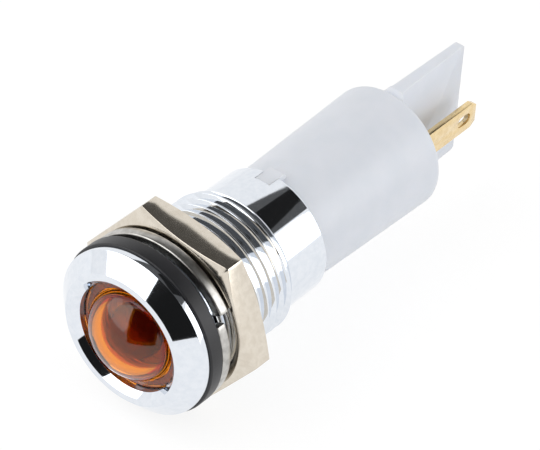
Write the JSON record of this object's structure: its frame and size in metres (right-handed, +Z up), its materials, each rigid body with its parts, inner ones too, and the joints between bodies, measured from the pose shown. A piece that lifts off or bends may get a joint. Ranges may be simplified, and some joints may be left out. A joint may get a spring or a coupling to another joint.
{
  "type": "panel pilot light",
  "caption": "Round panel pilot light: domed amber lens in a chromed bezel, threaded barrel with gasket, lock washer and nut, insulated rear housing with blade terminals.",
  "frame": {"origin": "on the lamp's axis, in the plane where the bezel's flange meets the panel gasket", "axes": "+Y along the lamp's axis towards the terminals, so the lens faces -Y; +Z up, in the plane of the barrier between the terminals"},
  "size_m": [0.0194, 0.0482, 0.0182],
  "materials": {
    "chrome_plate": "bright decorative chromium plate on turned brass",
    "amber_lens": "moulded transparent amber polycarbonate",
    "silicone": "translucent silicone sheet",
    "gasket_rubber": "cut black nitrile rubber sheet",
    "spring_steel": "zinc plated spring steel",
    "nickel_plate": "nickel plated brass, turned faces",
    "white_nylon": "moulded natural white nylon",
    "led_epoxy": "cast clear epoxy",
    "tinned_metal": "tinned lead frame",
    "solder": "bright solder",
    "board_laminate": "green solder mask on glass laminate",
    "diode_epoxy": "moulded black epoxy",
    "capacitor_sleeve": "shrunk dark blue sleeve",
    "resistor_lacquer": "dipped light blue lacquer",
    "gold_plate": "gold plated brass strip"
  },
  "bodies": {
    "lamp": {"bezel_body": "chrome_plate", "lens": "amber_lens", "lens_seal": "silicone", "panel_gasket": "gasket_rubber", "rear_housing": "white_nylon", "led_holder": "white_nylon", "led_body": "led_epoxy", "led_anode": "tinned_metal", "led_cathode": "tinned_metal", "led_solder": "solder", "circuit_board": "board_laminate", "rectifier_diode": "diode_epoxy", "smoothing_capacitor": "capacitor_sleeve", "dropper_resistor_1": "resistor_lacquer", "dropper_resistor_2": "resistor_lacquer", "board_solder": "solder", "live_tab": "gold_plate", "neutral_tab": "gold_plate", "tab_solder": "solder"},
    "washer": {"lock_washer": "spring_steel"},
    "nut": {"hex_nut": "nickel_plate"}
  },
  "joints": [
    {"name": "nut_advance", "type": "slide", "parent": "lamp", "child": "washer", "axis": [0, 1, 0], "range_m": [0, 0.006]},
    {"name": "nut_turn", "type": "hinge", "parent": "washer", "child": "nut", "pos_m": [0, 0, 0], "axis": [0, 1, 0], "range_deg": [0, 2160]}
  ],
  "couplings": [
    {"joint": "nut_advance", "follows": "nut_turn", "m_per_rad": 0.00015915}
  ]
}
